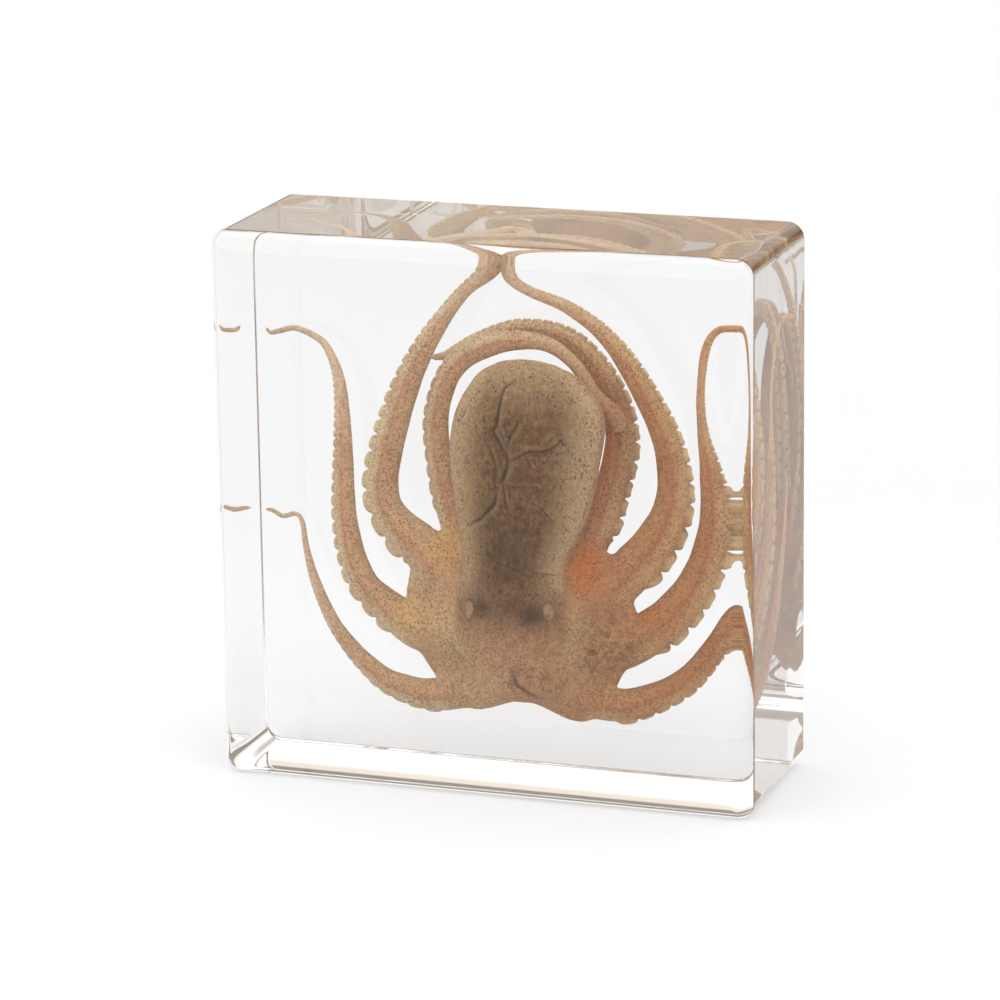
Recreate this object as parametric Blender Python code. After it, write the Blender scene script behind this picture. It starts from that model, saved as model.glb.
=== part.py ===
"""Octopus cast in a clear resin block: the block in two halves round a close pocket, and the octopus in it.

Metres, +Z up. The block stands on its bottom face, with the origin at the middle of that face,
and its broad front face looks towards -Y. The octopus hangs head down: its mantle points up, and
its eight arms spread from the web and curl upwards on both sides.
"""

import math

import bmesh
import bpy
import numpy as np

MM = 0.001
NEAR = 0.001 * MM

# Block
BLOCK_WIDTH = 74.4 * MM
BLOCK_DEPTH = 26.0 * MM
BLOCK_HEIGHT = 75.0 * MM
CORNER_ROUNDING = 2.2 * MM
FRONT_ROUNDING = 1.5 * MM
BACK_ROUNDING = 0.8 * MM
CORNER_STEPS = 3
FRONT_STEPS = 2
BACK_STEPS = 2
PARTING_Y = 1.2 * MM
PARTING_GAP = 0.3 * MM

# Pocket round the octopus
CLEARANCE = 0.55 * MM
POCKET_STEP = 1.5
POCKET_STEP_LEAST = 2.2 * MM

# Octopus: how finely it is faceted
ARM_SIDES = 6
ARM_FLATNESS = 0.88
BODY_SIDES = 18
ROOT_STEP = 3.0 * MM
ROOT_GAP = 0.4 * MM
TIP_STEP = 2.7 * MM

# Suckers: one lobe of the arm's outer edge for each. They take this share of the arm's width.
SUCKER_PITCH = 1.6
SUCKER_SHARE = 0.15
SUCKER_SMALLEST_ARM = 0.95 * MM

# Mantle, neck and head, from the top down, in mm: height, middle in X, half width, middle in Y, half depth
BODY_SECTIONS = (
    (58.5, 4.0, 1.6, -2.8, 1.0),
    (57.8, 4.1, 3.6, -2.8, 2.1),
    (55.9, 4.9, 7.0, -2.8, 3.8),
    (52.8, 5.3, 9.6, -2.8, 5.0),
    (49.6, 4.8, 10.5, -2.8, 5.6),
    (45.1, 4.4, 10.4, -2.8, 5.8),
    (39.7, 4.1, 9.6, -2.6, 5.6),
    (35.2, 3.5, 8.4, -2.2, 4.8),
    (31.5, 2.7, 7.2, -1.9, 4.1),
    (27.7, 2.5, 7.6, -1.5, 4.0),
    (23.8, 2.3, 8.6, -1.3, 4.4),
    (19.3, 2.7, 9.6, -0.9, 4.4),
    (15.0, 3.1, 8.4, -0.6, 3.8),
    (12.6, 3.3, 6.2, -0.3, 2.9),
    (11.6, 3.3, 3.4, -0.2, 1.5),
)

# Eyes, in mm: middle (x, y, z) and half lengths. Each bulges from a side of the head, towards the front.
EYES = {
    "eye_left": ((-3.4, -4.1, 24.9), (2.0, 2.1, 2.5)),
    "eye_right": ((8.8, -4.1, 25.3), (2.0, 2.1, 2.5)),
}
EYE_STEPS = (8, 5)

# Web between the arm roots, in mm: its middle (x, y, z), half thickness there and at its rim, and its
# rim (x, z), which dips to a notch between each two arms
WEB_MIDDLE = (3.4, 0.4, 19.8)
WEB_THICK = (3.4, 0.7)
WEB_RIM = (
    (-7.1, 33.8), (-11.7, 30.8), (-13.3, 24.8), (-13.5, 20.2), (-9.2, 13.5), (-8.7, 10.5), (-3.1, 9.5),
    (3.5, 11.2), (10.9, 9.0), (15.7, 11.4), (16.3, 14.4), (19.3, 20.4), (19.1, 25.0), (16.9, 29.5),
    (14.0, 33.5), (3.9, 32.8),
)
WEB_STEPS = (26, 3)

# Arms, from root to tip, in mm: x, y, z and half width with the suckers. The first number is the length of the root
# that is one with the body. Suckers line the side away from the mantle.
ARMS = {
    "arm_left_low": (12.5, (
        (1.9, 0.0, 15.3, 4.2), (-8.0, 0.9, 10.8, 2.8), (-14.8, 1.9, 11.1, 2.2), (-19.4, 2.8, 13.4, 1.7),
        (-24.4, 4.6, 18.1, 1.2), (-27.8, 6.6, 23.8, 0.87), (-29.5, 8.2, 28.4, 0.55), (-30.3, 9.3, 32.0, 0.4),
        (-31.4, 10.0, 33.0, 0.37), (-33.4, 10.8, 32.4, 0.36), (-35.0, 11.1, 33.0, 0.33), (-36.1, 11.3, 33.1, 0.28),
    )),
    "arm_left_outer": (15.0, (
        (-1.1, 0.0, 19.8, 4.3), (-11.1, 0.9, 19.6, 3.9), (-17.4, 1.9, 22.9, 2.7), (-20.7, 1.9, 26.9, 2.3),
        (-22.6, 2.8, 34.4, 1.9), (-23.0, 4.6, 45.9, 1.35), (-23.8, 6.5, 52.7, 0.92), (-25.6, 8.0, 56.6, 0.62),
        (-27.4, 8.8, 58.1, 0.52), (-30.7, 10.0, 59.0, 0.42), (-33.4, 10.8, 58.3, 0.38), (-34.6, 11.1, 58.0, 0.32),
        (-35.4, 11.3, 58.6, 0.28),
    )),
    "arm_left_middle": (14.0, (
        (-1.6, 0.0, 23.3, 4.3), (-9.9, 0.9, 29.8, 3.9), (-15.7, 1.9, 34.8, 2.9), (-17.1, 1.9, 39.8, 2.6),
        (-15.3, 1.9, 47.5, 2.3), (-12.5, 1.9, 55.1, 1.9), (-8.7, 1.9, 61.7, 1.35), (-4.8, 1.9, 66.7, 1.0),
        (-1.8, 2.2, 69.4, 0.7), (-1.0, 3.0, 71.3, 0.5),
    )),
    "arm_left_inner": (12.0, (
        (-2.3, 0.6, 27.3, 3.4), (-6.5, 1.5, 34.8, 2.8), (-8.7, 2.4, 42.3, 2.2), (-9.2, 2.6, 49.8, 1.9),
        (-6.5, 2.6, 56.6, 1.8), (-0.8, 2.6, 60.0, 1.7), (5.8, 2.6, 60.5, 1.2), (10.2, 2.6, 58.0, 1.0),
        (13.3, 2.6, 53.7, 1.1), (15.8, 2.6, 51.3, 1.4), (16.8, 2.6, 49.1, 1.0),
    )),
    "arm_right_inner": (11.5, (
        (8.5, 0.6, 25.8, 3.6), (12.7, 2.2, 33.3, 3.0), (14.9, 4.3, 39.8, 2.6), (16.2, 6.1, 47.3, 2.4),
        (14.3, 6.5, 54.6, 2.0), (9.1, 6.7, 60.3, 1.6), (2.3, 6.7, 61.6, 1.3), (-4.1, 6.7, 59.6, 1.0),
        (-8.5, 6.7, 57.2, 0.6), (-10.7, 6.7, 56.8, 0.4),
    )),
    "arm_right_middle": (16.5, (
        (5.9, 0.0, 21.8, 4.3), (14.1, 0.6, 26.4, 4.2), (20.3, 0.9, 32.1, 3.5), (24.0, 1.9, 39.1, 2.8),
        (23.6, 1.9, 47.2, 2.2), (20.0, 1.9, 55.0, 1.8), (15.2, 1.9, 61.6, 1.3), (9.8, 1.9, 65.4, 0.95),
        (4.4, 1.9, 67.3, 0.65), (1.4, 2.2, 68.8, 0.6), (0.7, 3.0, 71.2, 0.5),
    )),
    "arm_right_outer": (17.0, (
        (5.4, 0.0, 17.8, 4.3), (16.4, 0.9, 19.4, 4.0), (22.5, 1.5, 23.0, 3.3), (27.3, 1.9, 29.0, 2.8),
        (29.5, 2.8, 36.7, 2.3), (28.8, 3.7, 44.1, 1.6), (27.6, 4.6, 49.1, 0.85), (27.1, 5.2, 54.1, 0.6),
        (27.4, 7.0, 59.8, 0.62), (28.7, 8.5, 62.4, 0.5), (31.2, 9.8, 62.8, 0.43), (34.2, 10.4, 62.7, 0.36),
    )),
    "arm_right_low": (12.5, (
        (4.9, 0.0, 14.8, 4.2), (14.9, 0.7, 11.5, 2.9), (20.3, 1.1, 12.4, 2.4), (25.9, 2.0, 15.7, 2.0),
        (30.1, 3.0, 21.3, 1.7), (32.5, 4.1, 26.8, 1.3), (33.6, 5.6, 33.0, 0.85), (33.1, 7.4, 39.0, 0.5),
        (32.3, 8.4, 41.4, 0.35),
    )),
}

CLEAR_RESIN = ("clear_resin", (0.93, 0.93, 0.90), 0.05)
MANTLE_SKIN = ("mantle_skin", (0.42, 0.30, 0.20), 0.55)
ARM_SKIN = ("arm_skin", (0.56, 0.38, 0.26), 0.55)


def remove_all():
    for obj in list(bpy.data.objects):
        bpy.data.objects.remove(obj, do_unlink=True)


def material(name, colour, roughness):
    made = bpy.data.materials.get(name) or bpy.data.materials.new(name)
    made.use_nodes = True
    shader = made.node_tree.nodes["Principled BSDF"]
    shader.inputs["Base Color"].default_value = (*colour, 1.0)
    shader.inputs["Roughness"].default_value = roughness
    shader.inputs["Metallic"].default_value = 0.0
    return made


def add_object(name, mesh, finish):
    obj = bpy.data.objects.new(name, mesh)
    obj.data.materials.append(material(*finish))
    bpy.context.scene.collection.objects.link(obj)
    return obj


def add_cutter(name, mesh):
    obj = bpy.data.objects.new(name, mesh)
    obj.hide_render = True
    obj.display_type = "WIRE"
    bpy.context.scene.collection.objects.link(obj)
    return obj


def combine(obj, other, operation):
    modifier = obj.modifiers.new(operation.lower() + "_" + other.name, "BOOLEAN")
    modifier.operation = operation
    modifier.object = other
    modifier.solver = "EXACT"


def smooth_curve(points, samples):
    """Catmull-Rom curve through the points, at even steps of its parameter."""
    points = np.asarray(points, float)
    ends = np.vstack([2 * points[0] - points[1], points, 2 * points[-1] - points[-2]])
    place = np.linspace(0, len(points) - 1, samples)
    part = np.minimum(place.astype(int), len(points) - 2)
    t = (place - part)[:, None]
    a, b, c, d = (ends[part + i] for i in range(4))
    return 0.5 * (2 * b + (c - a) * t + (2 * a - 5 * b + 4 * c - d) * t**2 + (3 * b - a - 3 * c + d) * t**3)


class Arm:
    """An arm's centre line, measured along its length, with its half width."""

    def __init__(self, name):
        self.name = name
        self.root, points = ARMS[name]
        self.root *= MM
        self.curve = smooth_curve(np.asarray(points) * MM, 600)
        steps = np.linalg.norm(np.diff(self.curve[:, :3], axis=0), axis=1)
        self.along = np.concatenate([[0.0], np.cumsum(steps)])
        self.length = self.along[-1]
        self.sucker_side = 1.0 if "left" in name else -1.0

    def at(self, lengths):
        return np.stack([np.interp(lengths, self.along, column) for column in self.curve.T], axis=1)

    def frames(self, lengths):
        """Centres, half widths, and the unit vectors towards the suckers and towards the back."""
        near = 0.2 * MM
        here = self.at(lengths)
        ahead = self.at(np.minimum(lengths + near, self.length))[:, :3]
        behind = self.at(np.maximum(lengths - near, 0.0))[:, :3]
        forward = ahead - behind
        forward /= np.linalg.norm(forward, axis=1)[:, None]
        outward = np.stack([-forward[:, 2], np.zeros(len(forward)), forward[:, 0]], axis=1) * self.sucker_side
        outward /= np.linalg.norm(outward, axis=1)[:, None]
        return here[:, :3], here[:, 3], outward, np.cross(forward, outward)

    def sucker_rings(self):
        """Lengths of the rings along the free arm, and how far each stands out as a sucker, 0 to 1."""
        lengths, heights = [self.root], [0.0]
        place = self.root
        while place < self.length - TIP_STEP:
            width = self.at(np.array([place]))[0, 3]
            if width < SUCKER_SMALLEST_ARM:
                place += TIP_STEP
                lengths.append(place)
                heights.append(0.0)
                continue
            pitch = SUCKER_PITCH * width
            lengths += [place + 0.2 * pitch, place + 0.8 * pitch, place + pitch]
            heights += [1.0, 1.0, 0.0]
            place += pitch
        keep = [i for i, length in enumerate(lengths) if length < self.length - 0.4 * TIP_STEP]
        return np.array([lengths[i] for i in keep] + [self.length]), np.array([heights[i] for i in keep] + [0.0])


def tube_mesh(name, rings):
    """A closed tube through rings of points, with a flat fan over each end."""
    count, sides = rings.shape[:2]
    mesh = bmesh.new()
    corners = [[mesh.verts.new(point) for point in ring] for ring in rings]
    for i in range(count - 1):
        for j in range(sides):
            k = (j + 1) % sides
            mesh.faces.new((corners[i][j], corners[i][k], corners[i + 1][k], corners[i + 1][j]))
    mesh.faces.new(corners[0][::-1])
    mesh.faces.new(corners[-1])
    bmesh.ops.recalc_face_normals(mesh, faces=mesh.faces)
    made = bpy.data.meshes.new(name)
    mesh.to_mesh(made)
    mesh.free()
    made.shade_smooth()
    made.set_sharp_from_angle(angle=math.radians(50))
    return made


def arm_rings(arm, lengths, heights, extra=0.0):
    """Oval rings round the arm, drawn out on its outer side where a sucker stands."""
    centre, width, outward, back = arm.frames(lengths)
    turn = 2 * math.pi * (np.arange(ARM_SIDES) + 0.5) / ARM_SIDES
    fit = 1 / math.cos(math.pi / ARM_SIDES)
    facing = np.clip(np.cos(turn), 0.0, None)
    skin = (1 - SUCKER_SHARE) * width[:, None]
    stand = 2 * SUCKER_SHARE * heights[:, None] * width[:, None] * facing
    across = fit * ((skin + extra) * np.cos(turn) + stand) - SUCKER_SHARE * width[:, None]
    deep = (ARM_FLATNESS * skin + extra) * np.sin(turn)
    return centre[:, None] + across[..., None] * outward[:, None] + deep[..., None] * back[:, None]


def arm_mesh(arm):
    lengths, heights = arm.sucker_rings()
    return tube_mesh(arm.name, arm_rings(arm, lengths, heights))


def root_mesh(arm):
    end = arm.root - ROOT_GAP
    lengths = np.linspace(0.0, end, max(3, round(end / ROOT_STEP)))
    return tube_mesh(arm.name + "_root", arm_rings(arm, lengths, np.zeros(len(lengths))))


def arm_pocket_mesh(arm):
    """A coarse tube that clears the arm and its suckers all round, from root to just past the tip."""
    lengths = [0.0]
    while lengths[-1] < arm.length:
        width = arm.at(np.array([lengths[-1]]))[0, 3]
        lengths.append(lengths[-1] + max(POCKET_STEP * width, POCKET_STEP_LEAST))
    lengths = np.array(lengths) * arm.length / lengths[-1]
    rings = arm_rings(arm, lengths, np.ones(len(lengths)), CLEARANCE)
    onwards = (rings[-1] - rings[-2]).mean(axis=0)
    rings[-1] += onwards * CLEARANCE / np.linalg.norm(onwards)
    return tube_mesh("pocket_" + arm.name, rings)


def body_mesh(name, sides, extra=0.0):
    """The mantle, neck and head: oval sections stacked from the top of the mantle down to the web."""
    height, middle_x, half_width, middle_y, half_depth = (np.asarray(BODY_SECTIONS) * MM).T
    height = height + extra * np.linspace(1.0, -1.0, len(height))
    turn = 2 * math.pi * (np.arange(sides) + 0.5) / sides
    fit = 1 / math.cos(math.pi / sides)
    x = middle_x[:, None] + fit * (half_width[:, None] + extra) * np.cos(turn)
    y = middle_y[:, None] + fit * (half_depth[:, None] + extra) * np.sin(turn)
    z = np.broadcast_to(height[:, None], x.shape)
    return tube_mesh(name, np.stack([x, y, z], axis=2))


def eye_mesh(name, eye, extra=0.0):
    """An egg round the eye: rings from its front pole to its back pole."""
    middle, half = (np.array(part) * MM for part in EYES[eye])
    half = half + extra
    around, along = EYE_STEPS
    down = math.pi * (np.arange(along) + 0.5) / along
    turn = 2 * math.pi * np.arange(around) / around
    x = middle[0] + half[0] * np.sin(down)[:, None] * np.cos(turn)
    y = middle[1] - half[1] * np.cos(down)[:, None] * np.ones(around)
    z = middle[2] + half[2] * np.sin(down)[:, None] * np.sin(turn)
    return tube_mesh(name, np.stack([x, y, z], axis=2))


def web_mesh(name, extra=0.0):
    """A closed pillow over the rim's smooth outline: thickest in the middle, thin at the rim."""
    around, inwards = WEB_STEPS
    middle = np.array(WEB_MIDDLE) * MM
    rim = np.array(WEB_RIM) * MM
    wrapped = np.vstack([rim[-3:], rim, rim[:4]])
    outline = smooth_curve(wrapped, (len(wrapped) - 1) * 40 + 1)[120 : 120 + len(rim) * 40]
    outline = outline[np.linspace(0, len(outline), around, endpoint=False).astype(int)]
    reach = outline - middle[[0, 2]]
    reach *= 1 + 1.8 * extra / np.linalg.norm(reach, axis=1)[:, None]
    share = np.linspace(1.0, 0.25, inwards)
    half = WEB_THICK[1] * MM + (WEB_THICK[0] - WEB_THICK[1]) * MM * (1 - share**2) + extra
    front = [(share[i], -half[i]) for i in range(inwards)]
    rings = []
    for size, offset in front[::-1] + [(at, -away) for at, away in front]:
        ring = np.full((around, 3), middle[1] + offset)
        ring[:, [0, 2]] = middle[[0, 2]] + size * reach
        rings.append(ring)
    return tube_mesh(name, np.array(rings))


def round_edges(mesh, chosen, rounding, steps):
    """Rounds the edges whose two ends the test accepts."""
    edges = [edge for edge in mesh.edges if chosen(*(vert.co for vert in edge.verts))]
    bmesh.ops.bevel(mesh, geom=edges, offset=rounding, segments=steps, profile=0.5, affect="EDGES", clamp_overlap=True)


def block_half_mesh(name, keep_front):
    """The rounded block, cut on the parting plane and closed there.

    The edges that run front to back are rounded most, the front face's less, and the back face's least.
    """
    mesh = bmesh.new()
    bmesh.ops.create_cube(mesh, size=1.0)
    bmesh.ops.scale(mesh, vec=(BLOCK_WIDTH, BLOCK_DEPTH, BLOCK_HEIGHT), verts=mesh.verts)
    bmesh.ops.translate(mesh, vec=(0.0, 0.0, BLOCK_HEIGHT / 2), verts=mesh.verts)
    front = -BLOCK_DEPTH / 2 + NEAR
    back = BLOCK_DEPTH / 2 - NEAR
    round_edges(mesh, lambda a, b: abs(a.y - b.y) > NEAR, CORNER_ROUNDING, CORNER_STEPS)
    round_edges(mesh, lambda a, b: a.y < front and b.y < front, FRONT_ROUNDING, FRONT_STEPS)
    round_edges(mesh, lambda a, b: a.y > back and b.y > back, BACK_ROUNDING, BACK_STEPS)
    side = -1.0 if keep_front else 1.0
    cut = bmesh.ops.bisect_plane(
        mesh,
        geom=mesh.verts[:] + mesh.edges[:] + mesh.faces[:],
        plane_co=(0.0, PARTING_Y + side * PARTING_GAP / 2, 0.0),
        plane_no=(0.0, -side, 0.0),
        clear_outer=True,
    )
    rim = [item for item in cut["geom_cut"] if isinstance(item, bmesh.types.BMEdge)]
    bmesh.ops.contextual_create(mesh, geom=rim)
    bmesh.ops.recalc_face_normals(mesh, faces=mesh.faces)
    made = bpy.data.meshes.new(name)
    mesh.to_mesh(made)
    mesh.free()
    return made


def make_octopus(arms):
    body = add_object("octopus_body", body_mesh("octopus_body", BODY_SIDES), MANTLE_SKIN)
    combine(body, add_cutter("web", web_mesh("web")), "UNION")
    for name in EYES:
        combine(body, add_cutter(name, eye_mesh(name, name)), "UNION")
    for arm in arms:
        combine(body, add_cutter(arm.name + "_root", root_mesh(arm)), "UNION")
        add_object(arm.name, arm_mesh(arm), ARM_SKIN)


def make_block(arms):
    pocket = add_cutter("pocket_body", body_mesh("pocket_body", BODY_SIDES // 2, CLEARANCE))
    combine(pocket, add_cutter("pocket_web", web_mesh("pocket_web", CLEARANCE)), "UNION")
    for eye in EYES:
        name = "pocket_" + eye
        combine(pocket, add_cutter(name, eye_mesh(name, eye, CLEARANCE)), "UNION")
    for arm in arms:
        combine(pocket, add_cutter("pocket_" + arm.name, arm_pocket_mesh(arm)), "UNION")
    for name, keep_front in (("resin_front", True), ("resin_back", False)):
        half = add_object(name, block_half_mesh(name, keep_front), CLEAR_RESIN)
        combine(half, pocket, "DIFFERENCE")


def main():
    remove_all()
    arms = [Arm(name) for name in ARMS]
    make_octopus(arms)
    make_block(arms)


main()
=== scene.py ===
"""Octopus cast in a clear resin block, standing on a pale floor in soft studio light.

Metres, +Z up, in the frame's own place: the block stands on its bottom face and its broad front face looks
towards -Y. The octopus hangs head down in it, with its eight arms spread and curled upwards.
"""

import math

import bmesh
import bpy
import numpy as np
from mathutils import Matrix


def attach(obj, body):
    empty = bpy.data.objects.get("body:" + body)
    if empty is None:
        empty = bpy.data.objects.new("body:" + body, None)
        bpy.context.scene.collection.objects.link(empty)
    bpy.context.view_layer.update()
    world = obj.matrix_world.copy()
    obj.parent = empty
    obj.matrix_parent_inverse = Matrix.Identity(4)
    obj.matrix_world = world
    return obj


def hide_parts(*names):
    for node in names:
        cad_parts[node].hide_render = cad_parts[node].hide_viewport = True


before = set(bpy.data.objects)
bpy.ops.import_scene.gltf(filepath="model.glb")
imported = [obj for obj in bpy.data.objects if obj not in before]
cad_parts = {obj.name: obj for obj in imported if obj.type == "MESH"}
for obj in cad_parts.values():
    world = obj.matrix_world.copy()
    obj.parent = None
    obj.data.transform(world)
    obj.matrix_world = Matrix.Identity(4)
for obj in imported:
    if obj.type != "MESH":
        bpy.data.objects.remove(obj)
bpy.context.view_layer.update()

MM = 0.001

# Camera: the photo's own angle, found from the block's outline
CAMERA_PLACE = (197.614 * MM, -567.794 * MM, 201.065 * MM)
CAMERA_RIGHT = (0.9449, 0.3269, -0.0147)
CAMERA_UP = (-0.0723, 0.2524, 0.9649)
CAMERA_BACK = (0.3191, -0.9107, 0.2622)
CAMERA_LENS = 167.92
CAMERA_SENSOR = 36.0

# Block
BLOCK_SIZE = (74.4 * MM, 26.0 * MM, 75.0 * MM)
CORNER_RADIUS = 2.3 * MM
CORNER_LEAST = 1.0 * MM
CORNER_EASE = 0.4 * MM
CORNER_STEPS = 20
FRONT_EASE = 3.2 * MM
FRONT_BEND = 0.22 / MM
FRONT_RADIUS = 1.8 * MM
BACK_RADIUS = 0.35 * MM
RESIN_IOR = 1.49
RESIN_TINTS = ((0.99, 0.99, 0.985, 1.0), (1.0, 1.0, 1.0, 1.0))
DEPTH_COLOUR = (0.73, 0.727, 0.724, 1.0)
DEPTH_DENSITY = 10.0

# Floor: how far it lies under the block, how far it reaches, how much it glows, and how much less behind
FLOOR_GAP = 0.04 * MM
FLOOR_REACH = 4.0
FLOOR_CELLS = 8
FLOOR_GLOW = 0.445
FLOOR_FADE = 0.08
FLOOR_SHADES = ((0.44, 0.442, 0.447, 1.0), (0.45, 0.452, 0.456, 1.0))
FLOOR_LIGHT = (0.99, 1.0, 1.02, 1.0)

# Light from the room, as linear values
BACKDROP = (1.15, 1.15, 1.16, 1.0)
WARM_BAND = (0.97, 0.87, 0.74, 1.0)
DIM_WALL = (0.50, 0.43, 0.36, 1.0)
DIM_FOOT = (0.30, 0.26, 0.22, 1.0)
FRONT_LIGHT = (1.57, 1.56, 1.55, 1.0)
OVERHEAD_LIGHT = (2.28, 2.28, 2.28, 1.0)

# Suckers: their share of the arm's half width, their pitch in half widths, and the least half width that the
# pitch follows. Each row has its angle round the arm and how far its suckers are set on, in pitches. Last come
# a sucker's radius in pitches and its cup's depth in shares of its height.
SUCKER_SHARE = 0.15
SUCKER_PITCH = 0.98
SUCKER_LEAST_ARM = 0.42 * MM
SUCKER_ROWS = ((-0.2, 0.0), (-1.75, 0.5))
SUCKER_RADIUS = 0.46
CUP_DEPTH = 0.35

# Arms: depth and relief in shares of the half width, angles in radians, ripples in radians a metre, and the
# stretch where an arm's narrowed root and its free part lie one in the other
ARM_FLATNESS = 0.88
ARM_COLUMNS = 72
RINGS_PER_PITCH = 14
FURROW_ANGLE = 1.05
FURROW_WIDTH = 0.16
FURROW_DEPTH = 0.045
RIPPLE_DEPTH = 0.018
RIPPLE_RATES = (370, 900)
SEAM = 1.6 * MM
SEAM_NARROWING = 0.07

# Mantle, neck and head from the top down, in mm: height, middle in X, half width, middle in Y, half depth
BODY_SECTIONS = (
    (58.9, 4.7, 0.0, -2.8, 0.0),
    (58.3, 4.8, 3.7, -2.8, 1.8),
    (56.7, 5.2, 6.9, -2.8, 3.5),
    (54.8, 5.4, 8.6, -2.8, 4.5),
    (52.6, 5.4, 9.9, -2.8, 5.1),
    (49.6, 5.0, 10.55, -2.8, 5.6),
    (45.1, 4.4, 10.4, -2.8, 5.8),
    (39.7, 4.1, 9.6, -2.6, 5.6),
    (35.2, 3.5, 8.4, -2.2, 4.8),
    (31.5, 2.7, 7.2, -1.9, 4.1),
    (27.7, 2.5, 7.4, -1.5, 4.0),
    (23.8, 2.3, 8.4, -1.3, 4.4),
    (19.3, 2.7, 9.6, -0.9, 4.4),
    (15.0, 3.1, 8.4, -0.6, 3.8),
    (12.6, 3.3, 6.2, -0.3, 2.9),
    (11.0, 3.3, 0.0, -0.2, 0.0),
)
BODY_ROWS = 150
BODY_COLUMNS = 96
BODY_VOXEL = 0.32 * MM
WRINKLE_DEPTH = 0.03 * MM
WRINKLE_RATES = (2600, 500, 900)
EYE_RISE = 0.5 * MM
CREASE_REACH = 1.5
CREASE_BEHIND = -3.0 * MM

# Web between the arm roots, in mm: middle, half thickness there and at the rim, and the rim (x, z)
WEB_MIDDLE = (3.4, 0.4, 19.8)
WEB_THICK = (3.4, 0.75)
WEB_RIM = (
    (-7.1, 33.8), (-11.7, 30.8), (-13.3, 24.8), (-13.5, 20.2), (-9.2, 13.5), (-8.7, 10.5), (-3.1, 9.5),
    (3.5, 11.2), (10.9, 9.0), (15.7, 11.4), (16.3, 14.4), (19.3, 20.4), (19.1, 25.0), (16.9, 29.5),
    (14.0, 33.5), (3.9, 32.8),
)
WEB_STEPS = 12

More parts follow.
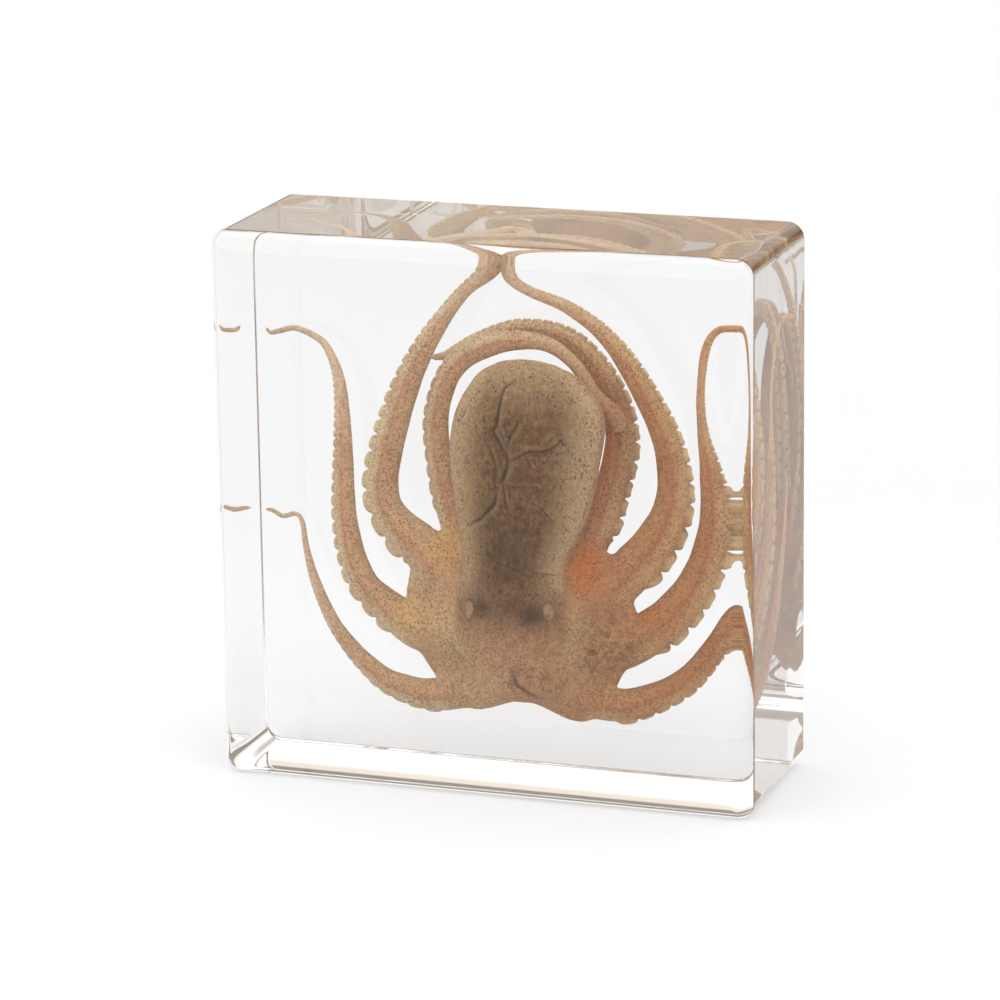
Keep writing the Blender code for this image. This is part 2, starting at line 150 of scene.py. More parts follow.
# Arms from root to tip, in mm: x, y, z and half width with the suckers. The first number is the length of the
# root that is one with the body.
ARMS = {
    "arm_left_low": (12.5, (
        (1.9, 0.0, 15.3, 4.2), (-8.0, 0.9, 10.8, 2.8), (-14.8, 1.9, 11.1, 2.2), (-19.4, 2.8, 13.4, 1.7),
        (-24.4, 4.6, 18.1, 1.2), (-27.8, 6.6, 23.8, 0.87), (-29.5, 8.2, 28.4, 0.55), (-30.3, 9.3, 32.0, 0.4),
        (-31.4, 10.0, 33.0, 0.37), (-33.4, 10.8, 32.4, 0.36), (-35.0, 11.1, 33.0, 0.33),
        (-36.1, 11.3, 33.1, 0.28),
    )),
    "arm_left_outer": (15.0, (
        (-1.1, 0.0, 19.8, 4.3), (-11.1, 0.9, 19.6, 3.9), (-17.4, 1.9, 22.9, 2.7), (-20.7, 1.9, 26.9, 2.3),
        (-22.6, 2.8, 34.4, 1.9), (-23.0, 4.6, 45.9, 1.35), (-23.8, 6.5, 52.7, 0.92), (-25.6, 8.0, 56.6, 0.62),
        (-27.4, 8.8, 58.1, 0.52), (-30.7, 10.0, 59.0, 0.42), (-33.4, 10.8, 58.3, 0.38),
        (-34.6, 11.1, 58.0, 0.32), (-35.4, 11.3, 58.6, 0.28),
    )),
    "arm_left_middle": (14.0, (
        (-1.6, 0.0, 23.3, 4.3), (-9.9, 0.9, 29.8, 3.9), (-15.7, 1.9, 34.8, 2.9), (-17.1, 1.9, 39.8, 2.6),
        (-15.3, 1.9, 47.5, 2.3), (-12.5, 1.9, 55.1, 1.9), (-8.7, 1.9, 61.7, 1.35), (-4.8, 1.9, 66.7, 1.0),
        (-1.3, 2.2, 69.6, 1.2), (0.4, 3.0, 71.4, 1.7),
    )),
    "arm_left_inner": (12.0, (
        (-2.3, 0.6, 27.3, 3.4), (-6.5, 1.5, 34.8, 2.8), (-8.7, 2.4, 42.3, 2.2), (-9.2, 2.6, 49.8, 1.9),
        (-6.5, 2.6, 56.6, 1.8), (-0.8, 2.6, 60.0, 1.7), (5.8, 2.6, 60.5, 1.2), (10.2, 2.6, 58.0, 1.0),
        (13.3, 2.6, 53.7, 1.1), (15.8, 2.6, 51.3, 1.4), (16.8, 2.6, 49.1, 1.0),
    )),
    "arm_right_inner": (11.5, (
        (8.5, 0.6, 25.8, 3.6), (12.7, 2.2, 33.3, 3.0), (14.9, 4.3, 39.8, 2.6), (16.2, 6.1, 47.3, 2.4),
        (14.3, 6.5, 54.6, 2.0), (9.1, 6.7, 60.3, 1.6), (2.3, 6.7, 61.6, 1.3), (-4.1, 6.7, 59.6, 1.0),
        (-8.5, 6.7, 57.2, 0.6), (-10.7, 6.7, 56.8, 0.4),
    )),
    "arm_right_middle": (16.5, (
        (5.9, 0.0, 21.8, 4.3), (14.1, 0.6, 26.4, 4.2), (20.3, 0.9, 32.1, 3.5), (24.0, 1.9, 39.1, 2.8),
        (23.6, 1.9, 47.2, 2.2), (20.0, 1.9, 55.0, 1.8), (15.2, 1.9, 61.6, 1.3), (9.8, 1.9, 65.4, 0.95),
        (4.4, 1.9, 67.3, 0.75), (1.7, 2.2, 69.0, 0.9), (0.8, 3.0, 71.4, 1.3),
    )),
    "arm_right_outer": (17.0, (
        (5.4, 0.0, 17.8, 4.3), (16.4, 0.9, 19.4, 4.0), (22.5, 1.5, 23.0, 3.3), (27.3, 1.9, 29.0, 2.8),
        (29.5, 2.8, 36.7, 2.3), (28.8, 3.7, 44.1, 1.6), (27.6, 4.6, 49.1, 0.85), (27.1, 5.2, 54.1, 0.6),
        (27.4, 7.0, 59.8, 0.62), (28.7, 8.5, 62.4, 0.5), (31.2, 9.8, 62.8, 0.43), (34.2, 10.4, 62.7, 0.36),
    )),
    "arm_right_low": (12.5, (
        (4.9, 0.0, 14.8, 4.2), (14.9, 0.7, 11.5, 2.9), (20.3, 1.1, 12.4, 2.4), (25.9, 2.0, 15.7, 2.0),
        (30.1, 3.0, 21.3, 1.7), (32.5, 4.1, 26.8, 1.3), (33.6, 5.6, 33.0, 0.85), (33.1, 7.4, 39.0, 0.5),
        (32.3, 8.4, 41.4, 0.35),
    )),
}

# How boldly each arm's suckers stand out, where it isn't the full measure
SUCKER_RISE = {"arm_left_low": 0.35, "arm_right_low": 0.6, "arm_left_inner": 0.5, "arm_left_outer": 0.85}

# Creases on the mantle's front, in mm (x, z), each with its half width and depth
CREASES = (
    (0.30, 0.34, ((4.0, 56.4), (2.6, 55.3), (2.0, 52.8), (1.7, 50.6), (1.3, 49.7), (2.1, 48.3),
        (3.1, 46.6), (3.3, 45.9))),
    (0.22, 0.20, ((2.1, 50.3), (2.8, 48.5), (3.2, 47.6), (3.3, 45.9))),
    (0.24, 0.24, ((4.9, 51.2), (3.9, 49.5), (3.3, 47.9), (3.3, 46.1))),
    (0.22, 0.24, ((3.3, 45.8), (4.8, 46.5), (6.3, 47.3), (7.7, 47.4), (8.9, 47.7), (10.2, 48.6),
        (10.5, 49.1))),
    (0.34, 0.40, ((3.3, 45.9), (3.1, 44.8), (2.6, 43.3), (2.5, 42.9))),
    (0.16, 0.16, ((2.5, 42.9), (3.9, 42.5), (7.3, 42.6))),
    (0.16, 0.14, ((2.5, 42.9), (1.6, 42.7), (1.3, 41.8), (0.2, 41.8))),
    (0.30, 0.30, ((1.8, 42.6), (1.5, 40.8), (1.0, 39.5), (0.1, 38.5), (-1.3, 37.2), (-2.6, 36.4))),
    (0.16, 0.14, ((0.8, 38.8), (0.2, 37.3))),
    (0.20, 0.20, ((2.5, 42.9), (2.7, 42.1), (2.9, 40.3), (3.3, 38.4))),
    (0.16, 0.14, ((6.0, 40.6), (7.8, 39.5), (8.8, 38.2), (9.7, 37.6))),
    (0.20, 0.14, ((4.6, 31.5), (6.1, 30.3), (8.3, 30.0), (9.7, 29.7))),
    (0.22, 0.18, ((0.4, 48.0), (1.1, 46.5), (1.7, 44.5), (1.6, 42.7))),
    (0.45, 0.24, ((2.7, 16.6), (3.2, 14.4), (4.4, 13.4), (6.3, 12.3))),
)

# Soft round patches on the front, in mm: x, z, half width, half height, strength. They are the golden glow,
# the dark smudges, the eyes, the paler skin and where the web is crumpled.
GLOW_SPOTS = (
    (12.0, 30.7, 3.4, 3.6, 1.0), (-6.8, 32.5, 3.2, 3.0, 0.8), (14.6, 43.6, 1.3, 8.0, 1.0),
    (21.8, 24.5, 3.6, 2.6, 0.6), (-12.7, 22.4, 3.4, 2.6, 0.5), (9.4, 24.3, 1.4, 2.4, 0.3),
    (16.3, 43.5, 1.8, 7.5, 0.55),
)
DUSK_SPOTS = (
    (-1.4, 24.9, 1.7, 1.6, 0.8), (5.6, 24.4, 2.2, 1.8, 0.95), (2.6, 25.2, 5.2, 2.4, 0.5),
    (3.2, 33.5, 4.6, 6.5, 0.48),
)
EYE_SPOTS = ((-3.1, 24.2, 0.62, 1.4, 1.0), (7.7, 24.7, 0.75, 1.3, 1.0))
PALE_SPOTS = (
    (-7.0, 21.0, 3.5, 6.0, 1.0), (-3.0, 12.5, 3.0, 4.0, 0.8), (10.5, 21.5, 1.6, 4.5, 0.8),
    (-13.0, 21.0, 4.0, 2.0, 0.5),
)
CRUMPLE_SPOTS = ((14.5, 20.0, 5.5, 5.0, 1.0), (-5.5, 17.0, 5.0, 5.0, 0.6), (6.0, 15.0, 8.0, 3.0, 0.6))

# Colours across an arm, from its inner edge to its suckers' edge, in display values from 0 to 255
ARM_STOPS = (
    (0.0, (248, 210, 162)), (0.12, (248, 198, 146)), (0.42, (236, 178, 128)), (0.60, (214, 154, 106)),
    (0.72, (236, 194, 148)), (1.0, (252, 230, 186)),
)

# Colours of the arms and the web
ROSY_TAN = (222, 162, 114)
YELLOW_TAN = (236, 204, 148)
# The mottle's light and dark: the mottle also lifts the bumps, so these are partly painted highlight on the
# bumps and painted shade in their pits
SAND_WITH_PAINTED_HIGHLIGHT = (238, 210, 158)
RUST_WITH_PAINTED_SHADE = (166, 110, 72)
MILKY_TAN = (240, 212, 186)
PALE_TIP = (254, 226, 194)
RIGHT_HAND_DULLING = (230, 200, 168)
# Painted highlight on the web's crumpled crests, and painted shade in its hollows
CRUMPLE_PAINTED_HIGHLIGHT = (240, 206, 142)
CRUMPLE_PAINTED_SHADE = (118, 74, 40)
PALE_WEB = (246, 214, 158)
GOLD = (255, 208, 128)
ORANGE = (236, 140, 56)

# Colours of the mantle and the head
MANTLE_LIGHT = (162, 120, 62)
MANTLE_DARK = (96, 62, 22)
MANTLE_BROWN = (132, 88, 48)
MANTLE_STRAW = (172, 134, 78)
# The mottle's dark and light: the mottle also lifts the bumps, so these are partly painted shade in the pits and
# painted highlight on the bumps
UMBER_WITH_PAINTED_SHADE = (78, 52, 28)
BUFF_WITH_PAINTED_HIGHLIGHT = (204, 162, 108)
# Painted highlight along the mantle's sides and over its top
PAINTED_RIM_HIGHLIGHT = (242, 208, 162)
DUSK_BROWN = (66, 40, 14)
EYE_CLOUD = (226, 186, 156)
EYE_RING = (84, 60, 42)
# Painted shade in the creases' grooves and painted highlight on their lips
CREASE_PAINTED_SHADE = (48, 33, 18)
LIP_PAINTED_HIGHLIGHT = (214, 182, 138)

# Colours over all the skin
GRAIN_BROWN = (132, 86, 50)
STIPPLE = (138, 84, 42)
SPECK = (66, 44, 24)
SUCKER_CREAM = (240, 218, 176)
# Painted shade inside the suckers' cups
CUP_PAINTED_SHADE = (184, 150, 110)


def smooth_curve(points, samples):
    """A smooth curve: between two points, a cubic that leaves each along the chord of its neighbours."""
    points = np.asarray(points, float)
    ends = np.vstack([2 * points[0] - points[1], points, 2 * points[-1] - points[-2]])
    steps = np.linspace(0, len(points) - 1, samples)
    part = np.minimum(steps.astype(int), len(points) - 2)
    t = (steps - part)[:, None]
    a, b, c, d = (ends[part + i] for i in range(4))
    return 0.5 * (2 * b + (c - a) * t + (2 * a - 5 * b + 4 * c - d) * t**2 + (3 * b - a - 3 * c + d) * t**3)


def ease(low, high, value):
    """Smooth step: 0 below low, 1 above high, and 3t² - 2t³ between."""
    t = np.clip((value - low) / (high - low), 0.0, 1.0)
    return t * t * (3 - 2 * t)


def new_object(name, points, faces, **values):
    """A mesh object from points and a list of faces, with a named attribute for each further array."""
    mesh = bpy.data.meshes.new(name)
    mesh.from_pydata(points.tolist(), [], faces)
    for label, array in values.items():
        store(mesh, label, array)
    mesh.shade_smooth()
    obj = bpy.data.objects.new(name, mesh)
    bpy.context.scene.collection.objects.link(obj)
    return obj


def store(mesh, label, array):
    """One number for each of the mesh's points, under a name that the materials read."""
    layer = mesh.attributes.new(label, "FLOAT", "POINT")
    layer.data.foreach_set("value", np.asarray(array, np.float32))


def tube_faces(rows, columns):
    """Quads between each two rings of a tube, and a fan of triangles to each pole, the last two points."""
    row, column = np.meshgrid(np.arange(rows - 1), np.arange(columns), indexing="ij")
    near = row * columns + column
    side = row * columns + (column + 1) % columns
    quads = np.stack([near, side, side + columns, near + columns], axis=-1).reshape(-1, 4)
    first = np.arange(columns)
    turned = (first + 1) % columns
    pole = np.full(columns, rows * columns)
    last = (rows - 1) * columns
    start_fan = np.stack([turned, first, pole], axis=1)
    end_fan = np.stack([last + first, last + turned, pole + 1], axis=1)
    return quads, np.vstack([start_fan, end_fan])


def tube(name, rings, **values):
    """A closed tube through rings of points [row, column, xyz], with a pole in the middle of each end."""
    rows, columns = rings.shape[:2]
    points = np.vstack([rings.reshape(-1, 3), rings[0].mean(axis=0), rings[-1].mean(axis=0)])
    quads, fans = tube_faces(rows, columns)
    ring = rings[rows // 2]
    middle = ring.mean(axis=0)
    around = np.cross(ring[0] - middle, ring[1] - middle)
    if around @ (rings[rows // 2 + 1].mean(axis=0) - middle) < 0:
        quads, fans = quads[:, ::-1], fans[:, ::-1]
    padded = {}
    for label, array in values.items():
        padded[label] = np.concatenate([array.ravel(), [array[0].mean(), array[-1].mean()]])
    return new_object(name, points, quads.tolist() + fans.tolist(), **padded)


class Arm:
    """An arm's centre line, measured along its length, with its half width."""

    def __init__(self, name):
        self.name = name
        root, points = ARMS[name]
        self.root = root * MM
        self.curve = smooth_curve(np.asarray(points) * MM, 1200)
        steps = np.linalg.norm(np.diff(self.curve[:, :3], axis=0), axis=1)
        self.along = np.concatenate([[0.0], np.cumsum(steps)])
        self.length = self.along[-1]
        self.side = 1.0 if "left" in name else -1.0
        pitch = SUCKER_PITCH * np.maximum(self.curve[:, 3], SUCKER_LEAST_ARM)
        rate = 1 / pitch
        self.turns = np.concatenate([[0.0], np.cumsum(0.5 * (rate[1:] + rate[:-1]) * steps)])

    def at(self, lengths):
        """x, y, z and half width at the given lengths from the root."""
        return np.stack([np.interp(lengths, self.along, column) for column in self.curve.T], axis=1)

    def frames(self, lengths):
        """Centres, half widths, and the unit vectors towards the suckers and towards the front."""
        near = 0.5 * MM
        here = self.at(lengths)
        ahead = self.at(np.minimum(lengths + near, self.length))[:, :3]
        behind = self.at(np.maximum(lengths - near, 0.0))[:, :3]
        forward = ahead - behind
        forward /= np.linalg.norm(forward, axis=1)[:, None]
        outward = np.stack([-forward[:, 2], np.zeros(len(forward)), forward[:, 0]], axis=1) * self.side
        outward /= np.linalg.norm(outward, axis=1)[:, None]
        return here[:, :3], here[:, 3], outward, np.cross(forward, outward) * self.side


def sucker_relief(arm, lengths, angles, width):
    """How far the suckers stand out at each point, from 0 to about 1, and how deep in a cup it lies, which sets
    the painted shade in the cup.

    Along each row there is one sucker to a pitch. Each is a flat dome less a bowl, sqrt(1 - r⁴) - bowl(r),
    where r is the distance from the sucker's middle in shares of its radius.
    """
    turns = np.interp(lengths, arm.along, arm.turns)[:, None]
    pitch = SUCKER_PITCH * np.maximum(width, SUCKER_LEAST_ARM)[:, None]
    height = np.zeros((len(lengths), len(angles)))
    cup = np.zeros_like(height)
    for angle, offset in SUCKER_ROWS:
        part = turns + offset
        ahead = (part - np.round(part)) * pitch
        turned = (angles[None, :] - angle + math.pi) % (2 * math.pi) - math.pi
        across = turned * 0.86 * width[:, None]
        uneven = 1 + 0.07 * np.sin(7.1 * np.round(part) + 3 * offset)
        reach = np.hypot(ahead, across) / (SUCKER_RADIUS * pitch)
        rise = uneven * np.sqrt(np.clip(1 - reach**4, 0.0, 1.0))
        bowl = ease(0.62, 0.25, reach)
        height = np.maximum(height, rise - CUP_DEPTH * bowl)
        cup = np.maximum(cup, bowl)
    return height, cup


def arm_surface(arm, lengths, swell=1.0, plain=False):
    """Oval rings round the arm's centre line, drawn out where suckers stand, and what the skin's colour needs.

    A point lies (skin + stand) * cos(angle) - share * half width outwards from the centre line, and
    (flatness * skin + stand) * sin(angle) in front of it. A shallow furrow runs along both sides, between the
    suckers' band and the back of the arm. The points of a ring stand closer together at the suckers.
    """
    centre, width, outward, front = arm.frames(lengths)
    turn = 2 * math.pi * np.arange(ARM_COLUMNS) / ARM_COLUMNS
    angles = (turn - 0.45 * np.sin(turn) + 0.1) % (2 * math.pi)
    angles = np.sort(np.where(angles > math.pi, angles - 2 * math.pi, angles))
    grown = 0.5 + 0.5 * ease(arm.root - 2.0 * MM, arm.root + 6.0 * MM, lengths)
    height, cup = sucker_relief(arm, lengths, angles, width)
    fade = ease(arm.root - 3.0 * MM, arm.root + 1.5 * MM, lengths)
    fade = fade * ease(0.0, 1.2 * MM, arm.length - lengths)
    bold = SUCKER_RISE.get(arm.name, 1.0) * (0.85 + 0.15 * ease(0.9 * MM, 2.4 * MM, width))
    height = height * (fade * bold)[:, None]
    cup = cup * fade[:, None]
    if plain:
        height = np.zeros_like(height)
    half = (1 - SUCKER_SHARE) * width * np.asarray(swell)
    furrow = FURROW_DEPTH * np.exp(-(((np.abs(angles) - FURROW_ANGLE) / FURROW_WIDTH) ** 2)) * grown[:, None]
    long_wave = np.sin(lengths[:, None] * RIPPLE_RATES[0])
    short_wave = np.sin(lengths[:, None] * RIPPLE_RATES[1] + 4.0 * np.sin(angles))
    skin = half[:, None] * (1 - furrow + RIPPLE_DEPTH * short_wave * long_wave)
    stand = 2 * SUCKER_SHARE * 1.06 * height * width[:, None]
    reach = skin + stand
    across = reach * np.cos(angles) - SUCKER_SHARE * width[:, None]
    deep = (ARM_FLATNESS * skin + stand) * np.sin(angles)
    rings = centre[:, None] + across[..., None] * outward[:, None] + deep[..., None] * front[:, None]
    side = np.broadcast_to(np.cos(angles), height.shape)
    return rings, side, np.clip(height, 0, 1), cup


def arm_object(arm):
    """The free arm, from just inside the body's root to its tip. Every sucker has the same number of rings."""
    start = arm.root - SEAM
    first = np.interp(start, arm.along, arm.turns)
    turns = np.linspace(first, arm.turns[-1], int((arm.turns[-1] - first) * RINGS_PER_PITCH))
    lengths = np.interp(turns, arm.turns, arm.along)
    swell = 1 - SEAM_NARROWING * (1 - ease(start, arm.root, lengths))
    tip = arm.length - lengths
    swell = swell * np.sqrt(np.clip(tip / (0.5 * MM), 0.02, 1.0))
    rings, side, height, cup = arm_surface(arm, lengths, swell)
    glow = spots(rings.reshape(-1, 3), GLOW_SPOTS).reshape(side.shape) * ease(0.0, -0.7, side)
    width = np.broadcast_to(arm.at(lengths)[:, 3:], side.shape)
    thin = ease(1.8 * MM, 0.6 * MM, width)
    return tube(arm.name + "_skin", rings, side=side, sucker=height, cup=cup, glow=glow, thin=thin)


def arm_root(arm):
    """The arm's root as a plain tube, which is fused with the body."""
    lengths = np.linspace(0.0, arm.root, 60)
    swell = 1 - SEAM_NARROWING * ease(arm.root - SEAM, arm.root, lengths)
    return tube(arm.name + "_root", arm_surface(arm, lengths, swell, plain=True)[0])


def head_surface():
    """Oval sections stacked along Z, their sizes read from one smooth curve.

    x = middle + half width * cos(angle) and y = middle + half depth * sin(angle).
    """
    sections = smooth_curve(np.array(BODY_SECTIONS) * MM, BODY_ROWS)
    height, middle_x, half_width, middle_y, half_depth = sections.T
    half_width = np.maximum(half_width, 0.05 * MM)
    half_depth = np.maximum(half_depth, 0.05 * MM)
    turn = 2 * math.pi * np.arange(BODY_COLUMNS) / BODY_COLUMNS
    x = middle_x[:, None] + half_width[:, None] * np.cos(turn)
    y = middle_y[:, None] + half_depth[:, None] * np.sin(turn)
    return np.stack([x, y, np.broadcast_to(height[:, None], x.shape)], axis=2)


def web_surface():
    """A pillow over the rim's smooth outline.

    Each ring is the outline drawn in towards the middle, and the thickness grows as 1 - share².
    """
    middle = np.array(WEB_MIDDLE) * MM
    rim = np.array(WEB_RIM) * MM
    wrapped = np.vstack([rim[-3:], rim, rim[:4]])
    outline = smooth_curve(wrapped, (len(wrapped) - 1) * WEB_STEPS + 1)
    outline = outline[3 * WEB_STEPS : (3 + len(rim)) * WEB_STEPS]
    reach = outline - middle[[0, 2]]
    turn = np.linspace(0.03, math.pi - 0.03, 48)
    share = np.sin(turn) ** 0.6
    half = WEB_THICK[1] * MM + (WEB_THICK[0] - WEB_THICK[1]) * MM * (1 - share**2)
    offset = -half * np.sign(np.cos(turn)) * np.abs(np.cos(turn)) ** 0.25
    rings = np.empty((len(turn), len(outline), 3))
    rings[:, :, 1] = (middle[1] + offset)[:, None]
    rings[:, :, 0] = middle[0] + share[:, None] * reach[:, 0]
    rings[:, :, 2] = middle[2] + share[:, None] * reach[:, 1]
    return rings


def near_creases(points):
    """Whether each point lies on the mantle's front, near enough to a crease to need the fine mesh."""
    near = np.zeros(len(points), bool)
    for _, _, route in CREASES:
        for x, z in smooth_curve(route, 6 * len(route)):
            near |= np.hypot(points[:, 0] / MM - x, points[:, 2] / MM - z) < CREASE_REACH
    return near & (points[:, 1] < CREASE_BEHIND)


def refined(mesh):
    """Each edge near a crease cut in three, so that the creases can be sharp."""
    near = near_creases(vertices_of(mesh)[0])
    ends = np.empty(len(mesh.edges) * 2, int)
    mesh.edges.foreach_get("vertices", ends)
    chosen = np.flatnonzero(near[ends.reshape(-1, 2)].all(axis=1))
    fine = bmesh.new()
    fine.from_mesh(mesh)
    fine.edges.ensure_lookup_table()
    edges = [fine.edges[i] for i in chosen.tolist()]
    bmesh.ops.subdivide_edges(fine, edges=edges, cuts=2, use_grid_fill=True)
    fine.to_mesh(mesh)
    fine.free()


def finished(obj, *modifiers):
    """The object's mesh with the modifiers worked into it: each is a kind and its settings."""
    for kind, settings in modifiers:
        modifier = obj.modifiers.new(kind.lower(), kind)
        for label, value in settings.items():
            setattr(modifier, label, value)
    graph = bpy.context.evaluated_depsgraph_get()
    return bpy.data.meshes.new_from_object(obj.evaluated_get(graph))


def fused(name, pieces):
    """One closed skin round all the pieces, remeshed, eased where they meet and finer at the creases."""
    joined = pieces[0]
    with bpy.context.temp_override(active_object=joined, selected_editable_objects=pieces):
        bpy.ops.object.join()
    joined.data = finished(
        joined,
        ("REMESH", {"mode": "VOXEL", "voxel_size": BODY_VOXEL}),
        ("SMOOTH", {"factor": 0.5, "iterations": 7}),
    )
    joined.modifiers.clear()
    refined(joined.data)
    mesh = finished(joined, ("SMOOTH", {"factor": 0.5, "iterations": 4}))
    bpy.data.objects.remove(joined, do_unlink=True)
    mesh.name = name
    obj = bpy.data.objects.new(name, mesh)
    bpy.context.scene.collection.objects.link(obj)
    return obj


def vertices_of(mesh):
    """The mesh's points and their normals, one row each."""
    points = np.empty(len(mesh.vertices) * 3)
    mesh.vertices.foreach_get("co", points)
    normals = np.empty(len(mesh.vertices) * 3, np.float32)
    mesh.vertex_normals.foreach_get("vector", normals)
    return points.reshape(-1, 3), normals.reshape(-1, 3).astype(float)


def spots(points, rows):
    """The strongest of the soft round patches: strength * exp(-(x/half width)² - (z/half height)²)."""
    strongest = np.zeros(len(points))
    for x, z, wide, high, strength in rows:
        off = ((points[:, 0] / MM - x) / wide) ** 2 + ((points[:, 2] / MM - z) / high) ** 2
        strongest = np.maximum(strongest, strength * np.exp(-off))
    return strongest


def crease_fields(points):
    """Height of the folds, the painted shade in their grooves and the painted highlight on their lips.

    Across a crease, at the signed distance d, the groove is exp(-(d/half width)²). A narrow lip and a wide
    swell stand on one side only, so that the skin there seems to lap over.
    """
    height, dark, pale = np.zeros((3, len(points)))
    for wide, deep, route in CREASES:
        line = smooth_curve(route, 14 * len(route))
        taper = np.sqrt(np.sin(np.linspace(0.12, math.pi - 0.12, len(line))))
        way = np.gradient(line, axis=0)
        way /= np.linalg.norm(way, axis=1)[:, None]
        off = np.full(len(points), 9.0)
        signed = np.full(len(points), 9.0)
        share = np.zeros(len(points))
        for (x, z), (along_x, along_z), strong in zip(line, way, taper):
            away_x, away_z = points[:, 0] / MM - x, points[:, 2] / MM - z
            here = np.hypot(away_x, away_z)
            nearer = here < off
            off = np.where(nearer, here, off)
            hand = along_x * away_z - along_z * away_x
            signed = np.where(nearer, np.copysign(here, hand), signed)
            share = np.where(nearer, strong, share)
        groove = np.exp(-((off / wide) ** 2)) * share
        lip = np.exp(-(((signed - 1.9 * wide) / (1.1 * wide)) ** 2)) * share
        swell = np.exp(-(((signed - 4 * wide) / (3.2 * wide)) ** 2)) * share
        height += deep * (0.35 * lip + 0.3 * swell - groove)
        bold = min(1.0, deep / 0.3)
        dark = np.maximum(dark, np.exp(-((off / (0.7 * wide)) ** 2)) * share * bold)
        pale = np.maximum(pale, lip * bold)
    return height, dark, pale


def arm_sides(points, arms):
    """For each point, the nearest arm's measure across it: -1 at its inner edge, +1 at the suckers' edge.

    It fades to 0 towards the middle of the web, where the arms run together.
    """
    best = np.full(len(points), np.inf)
    side = np.zeros(len(points))
    for arm in arms:
        lengths = np.linspace(0.25 * arm.root, arm.root + 1.0 * MM, 30)
        centre, width, outward = arm.frames(lengths)[:3]
        plain = ease(0.45 * arm.root, 0.95 * arm.root, lengths)
        for middle, half, out, clear in zip(centre, width, outward, plain):
            away = points - middle
            flat = np.hypot(away[:, 0], away[:, 2]) / half
            nearer = flat < best
            best = np.where(nearer, flat, best)
            across = (away @ out + SUCKER_SHARE * half) / ((1 - SUCKER_SHARE) * half)
            side = np.where(nearer, np.clip(across, -1, 1) * clear, side)
    return side * ease(1.6, 0.9, best)


def head_share(points):
    """1 on the mantle and head and 0 out on the web and arms, and how far each point is from their middle."""
    rows = smooth_curve(np.array(BODY_SECTIONS) * MM, BODY_ROWS)[::-1]
    height = points[:, 2]
    middle = np.interp(height, rows[:, 0], rows[:, 1])
    half = np.interp(height, rows[:, 0], rows[:, 2])
    across = np.abs(points[:, 0] - middle) / np.maximum(half, 0.3 * MM)
    within = across / np.interp(height, (16.0 * MM, 27.0 * MM), (0.7, 1.0))
    inside = ease(1.10, 0.92, within) * ease(15.0 * MM, 31.0 * MM, height)
    return inside * ease(2.5 * MM, 1.0 * MM, points[:, 1]), np.clip(across, 0.0, 1.0)


def body_object(arms):
    """Mantle, neck, head, web and arm roots as one skin, with the mantle's creases and the eyes worked in."""
    pieces = [tube("head", head_surface()), tube("web", web_surface())]
    pieces += [arm_root(arm) for arm in arms]
    body = fused("octopus_body_skin", pieces)
    mesh = body.data
    points, normals = vertices_of(mesh)
    front = ease(0.0, 0.6, -normals[:, 1])
    height, dark, pale = crease_fields(points)
    eye = spots(points, EYE_SPOTS) * front
    across, bend, down = WRINKLE_RATES
    wave = np.sin(points[:, 0] * across + 3 * np.sin(points[:, 2] * bend)) * np.sin(points[:, 2] * down)
    move = height * MM * front + eye * EYE_RISE + wave * WRINKLE_DEPTH
    points = points + normals * move[:, None]
    mesh.vertices.foreach_set("co", points.ravel())
    mesh.update()
    head, out = head_share(points)
    # Painted rim highlight: the skin is made paler towards the mantle's sides and over its top
    top = ease(50.0 * MM, 59.0 * MM, points[:, 2])
    rim = np.maximum(ease(0.32, 1.0, out), 0.7 * top)
    web = 1 - head
    store(mesh, "head", head)
    store(mesh, "rim", rim * head * ease(21.0 * MM, 30.0 * MM, points[:, 2]))
    store(mesh, "side", arm_sides(points, arms) * web)
    # Painted shade in the creases' grooves and painted highlight on their lips, on the front only
    store(mesh, "crease", dark * front)
    store(mesh, "lip", pale * front)
    store(mesh, "eye", eye)
    store(mesh, "dusk", spots(points, DUSK_SPOTS) * front)
    store(mesh, "glow", spots(points, GLOW_SPOTS) * web)
    store(mesh, "pale", spots(points, PALE_SPOTS) * web)
    store(mesh, "crumple", spots(points, CRUMPLE_SPOTS) * web)
    mesh.shade_smooth()
    return body


def front_section():
    """The front edge's section, from the flat face outwards: inset from the side, depth and slope.

    The slope grows as bend * length² / (2 * ease), and the rest of the quarter turn is a round arc.
    """
    length = np.linspace(0.0, FRONT_EASE, 18)
    slope = FRONT_BEND * length**2 / (2 * FRONT_EASE)
    middle = (slope[1:] + slope[:-1]) / 2
    out = np.concatenate([[0.0], np.cumsum(np.cos(middle) * length[1])])
    drop = np.concatenate([[0.0], np.cumsum(np.sin(middle) * length[1])])
    turn = np.linspace(slope[-1], math.pi / 2, 15)[1:]
    out = np.concatenate([out, out[-1] + FRONT_RADIUS * (np.sin(turn) - math.sin(slope[-1]))])
    drop = np.concatenate([drop, drop[-1] + FRONT_RADIUS * (math.cos(slope[-1]) - np.cos(turn))])
    return out[-1] - out, drop, np.concatenate([slope, turn])


